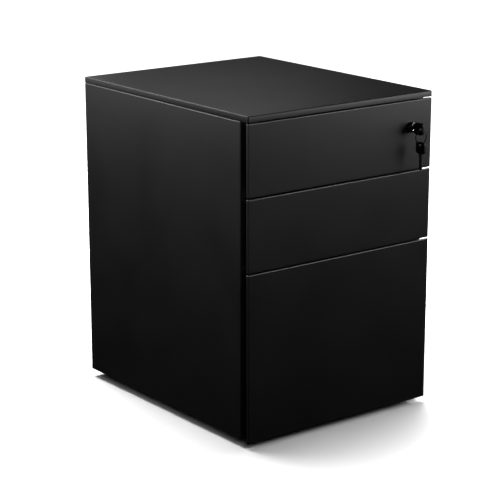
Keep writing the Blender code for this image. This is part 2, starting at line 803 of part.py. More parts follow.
def build_caster_plate(name, x, y):
    """The plate and stem that fix a caster under the base pan."""
    plate_low = (x - PLATE_HALF, y - PLATE_HALF, PLATE_TOP - PLATE_THICKNESS)
    plate_high = (x + PLATE_HALF, y + PLATE_HALF, PLATE_TOP)
    plate = solid_box(name + "_plate", plate_low, plate_high, ZINC_STEEL)
    stem_top = PLATE_TOP - PLATE_THICKNESS / 2
    mesh = upright_cylinder_mesh("stem", STEM_RADIUS, x, y, STEM_BOTTOM, stem_top)
    combine(plate, add_cutter(name + "_stem", mesh), "UNION")


def hood_outline():
    """The curved cover over the wheels, seen from the side, centred on the axle."""
    outer = arc((0.0, 0.0), HOOD_RADIUS, *HOOD_ANGLES, 16)
    inner = arc((0.0, 0.0), HOOD_RADIUS - HOOD_THICKNESS, *reversed(HOOD_ANGLES), 16)
    return outer + inner


def rib_outline():
    """The web between the wheels, from the axle up to the hood and forwards to the stem."""
    reach = HOOD_RADIUS - HOOD_THICKNESS / 2
    web = arc((0.0, 0.0), reach, 5, 155, 14)
    return web + arc((0.0, 0.0), AXLE_RADIUS + AXLE_WALL, 200, 340, 10)


def build_caster_body(name, x, y):
    """The swivelling body: a web between the wheels, a hood over them and a boss for the stem."""
    axle = (y + TRAIL, WHEEL_RADIUS)
    web = flat_mesh(name + "_body", [rib_outline()], 2 * RIB_HALF_WIDTH)
    web.transform(to_yz(x, *axle))
    body = add_part(name + "_body", web, BLACK_PLASTIC)
    hood = flat_mesh("hood", [hood_outline()], 2 * HOOD_HALF_WIDTH)
    hood.transform(to_yz(x, *axle))
    combine(body, add_cutter(name + "_hood", hood), "UNION")
    neck_low = (x - RIB_HALF_WIDTH, y - BOSS_RADIUS + NECK_INSET, NECK_BOTTOM)
    neck_high = (x + RIB_HALF_WIDTH, y + BOSS_RADIUS - NECK_INSET, BOSS_TOP - 2 * NECK_INSET)
    combine(body, add_cutter(name + "_neck", box_mesh("neck", neck_low, neck_high)), "UNION")
    boss = upright_cylinder_mesh("boss", BOSS_RADIUS, x, y, BOSS_BOTTOM, BOSS_TOP, 24)
    combine(body, add_cutter(name + "_boss", boss), "UNION")
    axle_turn = Matrix.Translation((x, *axle)) @ Matrix.Rotation(math.radians(90), 4, "Y")
    bore = cylinder_mesh("axle_bore", AXLE_RADIUS + GAP, 2 * HOOD_HALF_WIDTH, axle_turn, 16)
    combine(body, add_cutter(name + "_axle_bore", bore), "DIFFERENCE")
    socket = upright_cylinder_mesh("socket", STEM_RADIUS + GAP, x, y, SOCKET_BOTTOM, BOSS_TOP + CUT_EXTRA)
    combine(body, add_cutter(name + "_socket", socket), "DIFFERENCE")
    return body


def build_caster_wheels(name, x, y):
    """The pair of wheels on their common axle, one turned solid."""
    rim = WHEEL_RADIUS
    edge = rim - WHEEL_CHAMFER
    profile = [
        (0.0, WHEEL_OUTER),
        (edge, WHEEL_OUTER),
        (rim, WHEEL_OUTER - WHEEL_CHAMFER),
        (rim, WHEEL_INNER + WHEEL_CHAMFER),
        (edge, WHEEL_INNER),
        (AXLE_RADIUS, WHEEL_INNER),
    ]
    profile += [(radius, -height) for radius, height in reversed(profile)]
    wheels = add_part(name + "_wheels", turned_mesh(name + "_wheels", profile, 32), TREAD)
    smooth(wheels.data)
    wheels.location = (x, y + TRAIL, WHEEL_RADIUS)
    wheels.rotation_euler = (0.0, math.radians(90), 0.0)
    return wheels


def build_casters():
    """Four twin-wheel casters under the base pan, all trailing backwards."""
    for place, caster_back in CASTER_BACKS.items():
        for side_name, side in (("left", -1), ("right", 1)):
            name = f"caster_{place}_{side_name}"
            x = side * CASTER_X
            y = back(caster_back)
            build_caster_plate(name, x, y)
            body = build_caster_body(name, x, y)
            wheels = build_caster_wheels(name, x, y)
            axle = pivot(name + "_axle", (x, y + TRAIL, WHEEL_RADIUS))
            bpy.context.view_layer.update()
            parent_to(axle, wheels)
            parent_to(pivot(name + "_swivel", (x, y, BOSS_TOP)), body, axle)


def build_cabinet():
    """Every sub-part of the cabinet, closed and unlocked."""
    build_wrap()
    build_top()
    build_base()
    build_posts()
    build_counterweight()
    empties = [build_drawer(drawer) for drawer in DRAWERS]
    build_lock_bar()
    build_lock(empties[0])
    build_casters()


clear_scene()
PARTS = new_collection("rolling_pedestal_cabinet")
CUTTERS = new_collection("cutters")
build_cabinet()
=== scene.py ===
"""Rolling pedestal cabinet: the looks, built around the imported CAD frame.

Black powder-coated steel, three full-width drawers, a lock with two keys on a split ring, and
four hidden casters, on a plain pale floor under soft studio light. Lengths are in metres.
"""

import json
import math

import bmesh
import bpy
from mathutils import Matrix, Vector


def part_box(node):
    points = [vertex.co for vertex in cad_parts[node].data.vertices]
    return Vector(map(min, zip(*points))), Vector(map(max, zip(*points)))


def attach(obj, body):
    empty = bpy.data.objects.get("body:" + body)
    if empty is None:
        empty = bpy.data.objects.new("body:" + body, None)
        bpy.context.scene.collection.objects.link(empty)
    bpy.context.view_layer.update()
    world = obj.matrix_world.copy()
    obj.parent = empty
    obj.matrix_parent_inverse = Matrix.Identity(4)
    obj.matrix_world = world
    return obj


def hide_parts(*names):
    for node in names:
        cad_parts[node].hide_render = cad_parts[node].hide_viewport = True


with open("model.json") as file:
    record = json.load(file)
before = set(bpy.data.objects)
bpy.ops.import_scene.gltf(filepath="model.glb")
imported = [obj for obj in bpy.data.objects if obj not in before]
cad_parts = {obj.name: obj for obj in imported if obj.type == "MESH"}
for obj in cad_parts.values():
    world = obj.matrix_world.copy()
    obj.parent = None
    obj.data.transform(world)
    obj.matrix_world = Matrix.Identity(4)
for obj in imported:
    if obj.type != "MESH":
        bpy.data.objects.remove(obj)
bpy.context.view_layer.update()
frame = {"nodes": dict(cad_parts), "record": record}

DRAWERS = (1, 2, 3)
SIDES = {"left": -1, "right": 1}
CASTERS = ("front_left", "front_right", "rear_left", "rear_right")

SHEET = 0.0010
TOP_SHEET = 0.0012
EDGE_RADIUS = 0.0020
FOLD_RADIUS = 0.0022
WRAP_TOP_RETURN = 0.0040
WRAP_BOTTOM_RETURN = 0.0140
FRONT_LIP = 0.0320
NOTCH_REACH = 0.0125
# How far the fronts reach past the plain solids, which leaves narrow gaps between them
FRONT_HANG = {1: 0.0018, 2: 0.0018, 3: 0.0}
FRONT_RISE = {1: 0.0010, 2: 0.0, 3: 0.0}
ROUND_SEGMENTS = 4

KEY_HEAD_LENGTH = 0.022
KEY_HEAD_HEIGHT = 0.022
KEY_HEAD_THICKNESS = 0.0046
KEY_HOLE_RADIUS = 0.0030
KEY_HOLE_OFFSET = 0.0055
KEY_BLADE_HALF = 0.0038
KEY_BLADE_END = 0.0458

# The camera: degrees round to the left, degrees down, millimetres of lens and sensor, and where it
# stands from the deep drawer front's lower left corner
CAMERA_AZIMUTH = 37.50
CAMERA_PITCH = 15.19
CAMERA_LENS = 126.33
SENSOR_WIDTH = 36.0
CAMERA_FROM_CORNER = Vector((-1.72575, -2.25959, 1.11633))


def box_of(node):
    """The lowest and highest corner of a CAD node as vectors."""
    low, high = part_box(node)
    return Vector(low), Vector(high)


def middle_of(node):
    """The middle of a CAD node's box."""
    low, high = box_of(node)
    return (low + high) / 2


# Materials


def new_material(name):
    """An empty Principled material with its nodes, links and shader."""
    material = bpy.data.materials.new(name)
    material.use_nodes = True
    nodes = material.node_tree.nodes
    return material, nodes, material.node_tree.links, nodes["Principled BSDF"]


def noise(nodes, links, scale, detail=3.0, stretch=(1.0, 1.0, 1.0)):
    """Noise in the object's own space. Scale is in features per metre."""
    place = nodes.new("ShaderNodeTexCoord")
    mapping = nodes.new("ShaderNodeMapping")
    mapping.inputs["Scale"].default_value = stretch
    links.new(place.outputs["Object"], mapping.inputs["Vector"])
    texture = nodes.new("ShaderNodeTexNoise")
    texture.inputs["Scale"].default_value = scale
    texture.inputs["Detail"].default_value = detail
    links.new(mapping.outputs["Vector"], texture.inputs["Vector"])
    return texture.outputs["Fac"]


def to_range(nodes, links, value, low, high):
    """Maps a noise's usual span to the given range."""
    ramp = nodes.new("ShaderNodeMapRange")
    ramp.inputs["From Min"].default_value = 0.3
    ramp.inputs["From Max"].default_value = 0.7
    ramp.inputs["To Min"].default_value = low
    ramp.inputs["To Max"].default_value = high
    links.new(value, ramp.inputs["Value"])
    return ramp.outputs["Result"]


def tint(nodes, links, value, dark, light):
    """A colour between two colours by a noise."""
    mix = nodes.new("ShaderNodeMix")
    mix.data_type = "RGBA"
    mix.inputs["A"].default_value = (*dark, 1.0)
    mix.inputs["B"].default_value = (*light, 1.0)
    links.new(to_range(nodes, links, value, 0.0, 1.0), mix.inputs["Factor"])
    return mix.outputs["Result"]


def bumps(nodes, links, shader, layers):
    """Stacks bump layers of (height, distance in metres) on a shader's normal."""
    below = None
    for height, distance in layers:
        bump = nodes.new("ShaderNodeBump")
        bump.inputs["Strength"].default_value = 1.0
        bump.inputs["Distance"].default_value = distance
        links.new(height, bump.inputs["Height"])
        if below is not None:
            links.new(below, bump.inputs["Normal"])
        below = bump.outputs["Normal"]
    links.new(below, shader.inputs["Normal"])


def powder_coat(name, dark, light, rough):
    """Satin powder coat: an orange-peel skin, handling marks, tiny speckle and a sheen on top."""
    material, nodes, links, shader = new_material(name)
    speckle = noise(nodes, links, 2600.0, 2.0)
    links.new(tint(nodes, links, speckle, dark, light), shader.inputs["Base Color"])
    cloud = noise(nodes, links, 9.0, 5.0)
    links.new(to_range(nodes, links, cloud, rough[0], rough[1]), shader.inputs["Roughness"])
    peel = noise(nodes, links, 420.0, 2.0)
    grain = noise(nodes, links, 1500.0, 3.0)
    bumps(nodes, links, shader, ((peel, 0.000030), (grain, 0.000012)))
    shader.inputs["Specular IOR Level"].default_value = 0.5
    shader.inputs["Coat Weight"].default_value = 0.6
    shader.inputs["Coat Roughness"].default_value = 0.3
    return material


def zinc_plate():
    """Zinc-plated sheet: bright grey, faintly blue, with a streaked grain."""
    material, nodes, links, shader = new_material("zinc_plate")
    cloud = noise(nodes, links, 60.0, 6.0)
    colour = tint(nodes, links, cloud, (0.46, 0.47, 0.50), (0.60, 0.61, 0.62))
    links.new(colour, shader.inputs["Base Color"])
    streak = noise(nodes, links, 500.0, 4.0, (1.0, 0.05, 1.0))
    links.new(to_range(nodes, links, streak, 0.28, 0.46), shader.inputs["Roughness"])
    bumps(nodes, links, shader, ((streak, 0.000008),))
    shader.inputs["Metallic"].default_value = 1.0
    return material


def plated_metal(name, dark, light, rough, scratch_scale):
    """A polished plated metal with fine scratches."""
    material, nodes, links, shader = new_material(name)
    cloud = noise(nodes, links, 180.0, 4.0)
    links.new(tint(nodes, links, cloud, dark, light), shader.inputs["Base Color"])
    scratch = noise(nodes, links, scratch_scale, 5.0, (1.0, 0.15, 0.4))
    links.new(to_range(nodes, links, scratch, rough[0], rough[1]), shader.inputs["Roughness"])
    bumps(nodes, links, shader, ((scratch, 0.000004),))
    shader.inputs["Metallic"].default_value = 1.0
    return material


def moulded_plastic(name, dark, light, rough):
    """Moulded black plastic with a fine spark-eroded texture."""
    material, nodes, links, shader = new_material(name)
    cloud = noise(nodes, links, 40.0, 4.0)
    links.new(tint(nodes, links, cloud, dark, light), shader.inputs["Base Color"])
    links.new(to_range(nodes, links, cloud, rough[0], rough[1]), shader.inputs["Roughness"])
    texture = noise(nodes, links, 2200.0, 2.0)
    bumps(nodes, links, shader, ((texture, 0.000020),))
    return material


def cast_iron():
    """Raw cast iron: dark grey, dull and pitted."""
    material, nodes, links, shader = new_material("cast_iron")
    cloud = noise(nodes, links, 25.0, 6.0)
    colour = tint(nodes, links, cloud, (0.045, 0.042, 0.040), (0.085, 0.080, 0.075))
    links.new(colour, shader.inputs["Base Color"])
    pits = noise(nodes, links, 320.0, 6.0)
    links.new(to_range(nodes, links, pits, 0.62, 0.85), shader.inputs["Roughness"])
    bumps(nodes, links, shader, ((pits, 0.00025),))
    shader.inputs["Metallic"].default_value = 0.5
    return material


MATERIALS = {
    "black_powder_coat": powder_coat(
        "black_powder_coat", (0.0085, 0.0085, 0.0088), (0.0140, 0.0140, 0.0145), (0.46, 0.54)
    ),
    "zinc_steel": zinc_plate(),
    "lock_black_nickel": plated_metal(
        "lock_black_nickel", (0.030, 0.030, 0.032), (0.050, 0.050, 0.053), (0.16, 0.26), 900.0
    ),
    "key_steel": plated_metal(
        "key_steel", (0.20, 0.20, 0.21), (0.28, 0.28, 0.29), (0.26, 0.38), 1400.0
    ),
    "black_plastic": moulded_plastic(
        "black_plastic", (0.0080, 0.0080, 0.0082), (0.0130, 0.0130, 0.0132), (0.38, 0.50)
    ),
    "wheel_tread": moulded_plastic(
        "wheel_tread", (0.0180, 0.0180, 0.0185), (0.0300, 0.0300, 0.0310), (0.62, 0.78)
    ),
    "cast_iron": cast_iron(),
}


# Shapes


def mesh_from(bm, name):
    """Turns a bmesh into a mesh and frees it."""
    mesh = bpy.data.meshes.new(name)
    bm.to_mesh(mesh)
    bm.free()
    return mesh


def add_piece(name, mesh, body, slot, replaced=()):
    """A piece in the scene with its material, riding on its body."""
    piece = bpy.data.objects.new(name, mesh)
    bpy.context.scene.collection.objects.link(piece)
    piece.data.materials.append(MATERIALS[slot])
    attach(piece, body)
    if replaced:
        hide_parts(*replaced)
    return piece


def smooth(mesh, degrees=40):
    """Smooth shading with sharp edges kept."""
    mesh.shade_smooth()
    mesh.set_sharp_from_angle(angle=math.radians(degrees))


def finish_sheet(piece):
    """Rounded folds with truly flat panels between them: each panel's own normal wins at its rim."""
    smooth(piece.data, 50)
    weighted = piece.modifiers.new("flat_panels", "WEIGHTED_NORMAL")
    weighted.keep_sharp = True
    weighted.weight = 100


def box_bmesh(low, high):
    """A box between two corners."""
    low = Vector(low)
    high = Vector(high)
    bm = bmesh.new()
    place = Matrix.Translation((low + high) / 2) @ Matrix.Diagonal((*(high - low), 1.0))
    bmesh.ops.create_cube(bm, size=1.0, matrix=place)
    return bm


def faces_towards(bm, direction):
    """The faces whose normals point along a direction."""
    direction = Vector(direction)
    bm.normal_update()
    return [face for face in bm.faces if face.normal.dot(direction) > 0.9]


def remove_sides(bm, *sides):
    """Deletes the faces that point along the given directions."""
    for side in sides:
        bmesh.ops.delete(bm, geom=faces_towards(bm, side), context="FACES_ONLY")


def open_end(bm, direction, margin):
    """Opens one end of a box but leaves a narrow turned-in edge all round."""
    end = faces_towards(bm, direction)
    bmesh.ops.inset_region(bm, faces=end, thickness=margin, use_even_offset=True)
    bmesh.ops.delete(bm, geom=end, context="FACES")


def is_tall(edge):
    """True for an edge that runs from top to bottom."""
    return abs((edge.verts[0].co - edge.verts[1].co).z) > 0.1


def is_at_height(edge, z):
    """True for an edge that lies level at a height."""
    return all(abs(vert.co.z - z) < 1e-6 for vert in edge.verts)


def round_edges(bm, radius, segments=ROUND_SEGMENTS, keep=None):
    """Rounds the folds of an open surface, or only those that keep picks."""
    edges = [edge for edge in bm.edges if not edge.is_boundary]
    edges = [edge for edge in edges if edge.calc_face_angle(0.0) > math.radians(20)]
    if keep is not None:
        edges = [edge for edge in edges if keep(edge)]
    bmesh.ops.bevel(
        bm, geom=edges, offset=radius, offset_type="OFFSET", segments=segments, profile=0.5,
        affect="EDGES", clamp_overlap=True,
    )


def thicken(piece, thickness):
    """Gives an open surface a sheet's thickness on its inner side."""
    solidify = piece.modifiers.new("sheet", "SOLIDIFY")
    solidify.thickness = thickness
    solidify.offset = -1.0
    solidify.use_even_offset = True


def apply_modifiers(piece):
    """Replaces a piece's mesh with its evaluated one."""
    evaluated = piece.evaluated_get(bpy.context.evaluated_depsgraph_get())
    mesh = bpy.data.meshes.new_from_object(evaluated)
    piece.modifiers.clear()
    piece.data = mesh


def cut(piece, cutter_mesh):
    """Cuts a mesh out of a piece."""
    cutter = bpy.data.objects.new("cutter", cutter_mesh)
    bpy.context.scene.collection.objects.link(cutter)
    boolean = piece.modifiers.new("cut", "BOOLEAN")
    boolean.operation = "DIFFERENCE"
    boolean.solver = "EXACT"
    boolean.object = cutter
    bpy.context.view_layer.update()
    apply_modifiers(piece)
    bpy.data.objects.remove(cutter)


def cylinder_bmesh(radius, length, place, segments=48):
    """A capped cylinder centred on its own axis, then placed."""
    bm = bmesh.new()
    bmesh.ops.create_cone(
        bm, cap_ends=True, segments=segments, radius1=radius, radius2=radius, depth=length, matrix=place
    )
    return bm


def add_box(bm, low, high):
    """Adds a box to a bmesh."""
    other = box_bmesh(low, high)
    append(bm, other)


def append(bm, other):
    """Adds one bmesh to another and frees it."""
    mesh = bpy.data.meshes.new("part")
    other.to_mesh(mesh)
    other.free()
    bm.from_mesh(mesh)
    bpy.data.meshes.remove(mesh)


def turned_mesh(name, profile, steps=64):
    """A solid of revolution about Z from (radius, height) points, top to bottom on its outer side."""
    bm = bmesh.new()
    points = [bm.verts.new((radius, 0.0, height)) for radius, height in profile]
    for above, below in zip(points, points[1:]):
        bm.edges.new((above, below))
    bmesh.ops.spin(
        bm, geom=list(bm.verts) + list(bm.edges), cent=(0, 0, 0), axis=(0, 0, 1),
        angle=math.radians(360), steps=steps, use_merge=True,
    )
    bmesh.ops.remove_doubles(bm, verts=bm.verts, dist=0.000005)
    bmesh.ops.recalc_face_normals(bm, faces=bm.faces)
    mesh = mesh_from(bm, name)
    smooth(mesh, 30)
    return mesh


def arc(centre, radius, start, end, steps):
    """Points along an arc, both ends included. Angles are in degrees."""
    points = []
    for step in range(steps + 1):
        angle = math.radians(start + (end - start) * step / steps)
        points.append((centre[0] + radius * math.cos(angle), centre[1] + radius * math.sin(angle)))
    return points


def circle(centre, radius, steps=48):
    """Points around a whole circle."""
    return arc(centre, radius, 0, 360, steps)[:-1]


def rounded_rectangle(low, high, radius, steps=8):
    """The outline of a rectangle with round corners, anticlockwise."""
    corners = (
        ((high[0] - radius, high[1] - radius), 0),
        ((low[0] + radius, high[1] - radius), 90),
        ((low[0] + radius, low[1] + radius), 180),
        ((high[0] - radius, low[1] + radius), 270),
    )
    points = []
    for centre, start in corners:
        points += arc(centre, radius, start, start + 90, steps)
    return points


def flat_mesh(name, outlines, thickness, bevel=0.0):
    """A plate in the XY plane from closed outlines, with its rims bevelled."""
    curve = bpy.data.curves.new(name, "CURVE")
    curve.dimensions = "2D"
    curve.fill_mode = "BOTH"
    curve.extrude = thickness / 2 - bevel
    curve.bevel_depth = bevel
    curve.bevel_resolution = 2
    curve.offset = -bevel
    for outline in outlines:
        spline = curve.splines.new("POLY")
        spline.points.add(len(outline) - 1)
        for point, (x, y) in zip(spline.points, outline):
            point.co = (x, y, 0.0, 1.0)
        spline.use_cyclic_u = True
    plate = bpy.data.objects.new(name, curve)
    bpy.context.scene.collection.objects.link(plate)
    bpy.context.view_layer.update()
    evaluated = plate.evaluated_get(bpy.context.evaluated_depsgraph_get())
    mesh = bpy.data.meshes.new_from_object(evaluated)
    bpy.data.objects.remove(plate)
    bm = bmesh.new()
    bm.from_mesh(mesh)
    bmesh.ops.remove_doubles(bm, verts=bm.verts, dist=0.000005)
    bmesh.ops.recalc_face_normals(bm, faces=bm.faces)
    bm.to_mesh(mesh)
    bm.free()
    smooth(mesh)
    return mesh


TO_XZ = Matrix.Rotation(math.radians(90), 4, "X")
TO_YZ = Matrix(((0, 0, 1, 0), (1, 0, 0, 0), (0, 1, 0, 0), (0, 0, 0, 1)))


# The carcase


def build_top():
    """The top: a folded tray with soft edges, flush with the sides and the drawer fronts."""
    low, high = box_of("top_plate")
    bm = box_bmesh(low, high)
    remove_sides(bm, (0, 0, -1))
    round_edges(bm, EDGE_RADIUS)
    mesh = mesh_from(bm, "top_tray")
    top = add_piece("top_tray", mesh, "cabinet", "black_powder_coat", ("top_plate",))
    thicken(top, TOP_SHEET)
    finish_sheet(top)


def build_wrap():
    """Both sides and the back in one folded sheet, turned in along its front, top and bottom."""
    low, high = box_of("cabinet_wrap")
    flange_x = box_of("lock_bar")[0].x + 0.010
    bm = box_bmesh(low, high)
    leave_flanges(bm, flange_x)
    open_end(bm, (0, 0, -1), WRAP_BOTTOM_RETURN)
    open_end(bm, (0, 0, 1), WRAP_TOP_RETURN)
    round_edges(bm, FOLD_RADIUS, 5, lambda edge: is_tall(edge) or is_at_height(edge, high.z))
    wrap = add_piece(
        "carcase_wrap", mesh_from(bm, "carcase_wrap"), "cabinet", "black_powder_coat", ("cabinet_wrap",)
    )
    thicken(wrap, SHEET)
    finish_sheet(wrap)


def leave_flanges(bm, flange_x):
    """Opens a box's front between two upright flanges that reach in to x = -flange_x and flange_x."""
    for side in (-1, 1):
        front = faces_towards(bm, (0, -1, 0))
        edges = list({edge for face in front for edge in face.edges})
        bmesh.ops.bisect_plane(
            bm, geom=front + edges, plane_co=(side * flange_x, 0, 0), plane_no=(1, 0, 0)
        )
    front = faces_towards(bm, (0, -1, 0))
    middle = [face for face in front if abs(face.calc_center_median().x) < 0.1]
    bmesh.ops.delete(bm, geom=middle, context="FACES_ONLY")


def build_posts():
    """The slotted upright channels inside the side walls."""
    for place in ("front", "rear"):
        for side_name, side in SIDES.items():
            node = f"slide_post_{place}_{side_name}"
            low, high = box_of(node)
            high.z -= SHEET
            bm = box_bmesh(low, high)
            remove_sides(bm, (side, 0, 0), (0, 0, 1), (0, 0, -1))
            round_edges(bm, EDGE_RADIUS, 3)
            post = add_piece(
                f"post_{place}_{side_name}", mesh_from(bm, node), "cabinet", "zinc_steel", (node,)
            )
            thicken(post, SHEET)
            apply_modifiers(post)
            cut(post, post_slots(low, high, side))
            finish_sheet(post)


def post_slots(low, high, side):
    """Cutters for the hook slots, one above the other along a post's web."""
    pitch = 0.025
    half_height = 0.006
    half_width = 0.002
    web_x = low.x if side > 0 else high.x
    middle_y = (low.y + high.y) / 2
    bm = bmesh.new()
    for number in range(int((high.z - low.z - 0.03) / pitch)):
        z = low.z + 0.02 + number * pitch
        for y in (middle_y - 0.006, middle_y + 0.006):
            corner = Vector((0.003, half_width, half_height))
            centre = Vector((web_x, y, z))
            add_box(bm, centre - corner, centre + corner)
    return mesh_from(bm, "post_slots")


def build_counterweight():
    """The iron block at the back with its two bolt heads on top."""
    low, high = box_of("counterweight")
    bm = box_bmesh(low, high)
    round_edges(bm, 0.0025, 3)
    mesh = mesh_from(bm, "iron_counterweight")
    smooth(mesh)
    add_piece("iron_counterweight", mesh, "cabinet", "cast_iron", ("counterweight",))
    for side_name, side in SIDES.items():
        place = Vector((side * 0.10, (low.y + high.y) / 2, high.z))
        bolt_head(f"counterweight_bolt_{side_name}", place, (0, 0, 1), 0.0055, 0.0040, "cabinet")


def facing(place, direction):
    """A matrix that puts something's own Z along a direction at a place."""
    turn = Vector((0, 0, 1)).rotation_difference(Vector(direction)).to_matrix().to_4x4()
    return Matrix.Translation(place) @ turn


def bolt_head(name, place, direction, radius, height, body):
    """A hexagon bolt head with a washer and a chamfered top."""
    bm = cylinder_bmesh(radius * 1.45, height * 0.25, Matrix.Translation((0, 0, height * 0.125)), 32)
    hexagon = cylinder_bmesh(radius, height * 0.75, Matrix.Translation((0, 0, height * 0.62)), 6)
    rim = [edge for edge in hexagon.edges if min(vert.co.z for vert in edge.verts) > height * 0.9]
    bmesh.ops.bevel(hexagon, geom=rim, offset=height * 0.12, segments=2, profile=0.5, affect="EDGES")
    append(bm, hexagon)
    bm.transform(facing(place, direction))
    mesh = mesh_from(bm, name)
    smooth(mesh, 35)
    return add_piece(name, mesh, body, "zinc_steel")


def screw_head_mesh(radius):
    """A low domed screw head with a cross recess, standing on the XY plane."""
    height = radius * 0.45
    profile = [(0.0, height)]
    for step in range(1, 9):
        angle = math.radians(90 * step / 8)
        profile.append((radius * math.sin(angle), height * math.cos(angle)))
    profile += [(radius, -height * 0.2), (0.0, -height * 0.2)]
    head = bpy.data.objects.new("screw_head", turned_mesh("screw_head", profile, 32))
    bpy.context.scene.collection.objects.link(head)
    arm = radius * 0.55
    thin = radius * 0.11
    for half_x, half_y in ((arm, thin), (thin, arm)):
        low = (-half_x, -half_y, height * 0.35)
        cut(head, box_mesh("cross", low, (half_x, half_y, height * 1.5)))
    mesh = head.data
    bpy.data.objects.remove(head)
    smooth(mesh, 35)
    return mesh


SCREW_MESHES = {}


def screw_head(name, place, direction, radius, body):
    """A cross-recessed screw head on a sheet."""
    if radius not in SCREW_MESHES:
        SCREW_MESHES[radius] = screw_head_mesh(radius)
    mesh = SCREW_MESHES[radius].copy()
    mesh.name = name
    mesh.transform(facing(place, direction))
    return add_piece(name, mesh, body, "zinc_steel")


# The drawers


def build_front(number):
    """The visible front: a shallow pan with soft folded edges and a lip turned in behind."""
    node = f"drawer_{number}_front"
    low, high = box_of(node)
    low.z -= FRONT_HANG[number]
    high.z += FRONT_RISE[number]
    bm = box_bmesh(low, high)
    open_end(bm, (0, 1, 0), FRONT_LIP)
    round_edges(bm, EDGE_RADIUS)
    front = add_piece(
        f"front_pan_{number}", mesh_from(bm, node), f"drawer_{number}", "black_powder_coat", (node,)
    )
    thicken(front, SHEET)
    return front


def build_inner_front(number):
    """The tray behind the front that leaves the grip channels free."""
    node = f"drawer_{number}_inner_front"
    low, high = box_of(node)
    bm = box_bmesh(low, high)
    remove_sides(bm, (0, -1, 0))
    round_edges(bm, EDGE_RADIUS)
    tray = add_piece(
        f"inner_tray_{number}", mesh_from(bm, node), f"drawer_{number}", "black_powder_coat", (node,)
    )
    thicken(tray, SHEET)
    return tray


def box_corners(number):
    """A drawer box's corners without the catch on its right side."""
    low, high = box_of(f"drawer_{number}_box")
    high.x = -low.x
    return low, high


def build_box(number):
    """The drawer box with folded edges, divider slots, a hemmed rim and its catch."""
    node = f"drawer_{number}_box"
    low, high = box_corners(number)
    bm = box_bmesh(low, high)
    remove_sides(bm, (0, 0, 1))
    round_edges(bm, EDGE_RADIUS, 3)
    box = add_piece(
        f"box_shell_{number}", mesh_from(bm, node), f"drawer_{number}", "black_powder_coat", (node,)
    )
    thicken(box, SHEET)
    apply_modifiers(box)
    cut(box, divider_slots(low, high))
    if number == 1:
        cut(box, lock_notch(low, high))
    finish_sheet(box)
    build_catch(number)
    build_hem(number, low, high)
    for side_name, side in SIDES.items():
        for row in (-1, 1):
            z = (low.z + high.z) / 2 + row * (high.z - low.z) * 0.3
            place = Vector((side * 0.120, low.y + SHEET, z))
            name = f"box_screw_{number}_{side_name}_{row + 2}"
            screw_head(name, place, (0, 1, 0), 0.0040, f"drawer_{number}")


def divider_slots(low, high):
    """Cutters for the upright slots in both side walls that cross dividers drop into."""
    pitch = 0.032
    bm = bmesh.new()
    top = high.z - 0.016
    bottom = low.z + (high.z - low.z) * 0.38
    for side in (-1, 1):
        x = side * high.x
        y = low.y + 0.070
        while y < high.y - 0.03:
            add_box(bm, (x - 0.004, y - 0.0011, bottom), (x + 0.004, y + 0.0011, top))
            y += pitch
    return mesh_from(bm, "divider_slots")


def lock_notch(low, high):
    """The cutter for the notch in the top drawer's front right corner that the lock sits in."""
    centre = lock_place()
    back_y = box_of("lock_cam")[1].y + 0.0039
    corner_low = (centre.x - NOTCH_REACH, low.y - 0.002, centre.z - NOTCH_REACH)
    corner_high = (high.x + 0.002, back_y, high.z + 0.002)
    return box_mesh("lock_notch", corner_low, corner_high)


def box_mesh(name, low, high):
    """A plain box mesh, for cutting."""
    return mesh_from(box_bmesh(low, high), name)


def build_catch(number):
    """The folded tab on the box's right side that the lock bar's tooth blocks."""
    low, high = box_of(f"drawer_{number}_box")
    slide_top = box_of(f"drawer_{number}_slide_right_outer")[1].z
    back_y = box_of("lock_bar")[1].y + 0.0038
    bm = box_bmesh((-low.x, back_y, slide_top + 0.0015), (high.x, back_y + 0.002, slide_top + 0.0085))
    round_edges(bm, 0.0005, 2)
    mesh = mesh_from(bm, f"catch_tab_{number}")
    smooth(mesh)
    return add_piece(f"catch_tab_{number}", mesh, f"drawer_{number}", "zinc_steel")


def build_hem(number, low, high):
    """The flattened hem round the box's rim, a little thicker than the sheet."""
    height = 0.009
    proud = 0.0009
    bm = bmesh.new()
    walls = (
        ((low.x + SHEET, low.y + SHEET), (low.x + SHEET + proud, high.y - SHEET)),
        ((high.x - SHEET - proud, low.y + SHEET), (high.x - SHEET, high.y - SHEET)),
        ((low.x + SHEET + proud, high.y - SHEET - proud), (high.x - SHEET - proud, high.y - SHEET)),
    )
    if number == 1:
        walls = walls[2:]
    for start, end in walls:
        add_box(bm, (start[0], start[1], high.z - height), (end[0], end[1], high.z - 0.0002))
    rims = [edge for edge in bm.edges if edge.calc_face_angle(0.0) > 1.0]
    bmesh.ops.bevel(bm, geom=rims, offset=0.0003, segments=2, profile=0.5, affect="EDGES")
    mesh = mesh_from(bm, f"rim_hem_{number}")
    smooth(mesh)
    return add_piece(f"rim_hem_{number}", mesh, f"drawer_{number}", "black_powder_coat")


def build_slide_member(number, side_name, member):
    """One C-shaped slide member with rounded folds and a row of holes."""
    side = SIDES[side_name]
    node = f"drawer_{number}_slide_{side_name}_{member}"
    bodies = {"outer": "cabinet", "middle": f"drawer_{number}_slide_middles", "inner": f"drawer_{number}"}
    opens = side if member == "inner" else -side
    low, high = box_of(node)
    bm = box_bmesh(low, high)
    remove_sides(bm, (opens, 0, 0), (0, 1, 0), (0, -1, 0))
    round_edges(bm, 0.0018, 4)
    piece = add_piece(
        f"slide_{number}_{side_name}_{member}", mesh_from(bm, node), bodies[member], "zinc_steel", (node,)
    )
    thicken(piece, TOP_SHEET)
    apply_modifiers(piece)
    cut(piece, slide_holes(low, high))
    finish_sheet(piece)


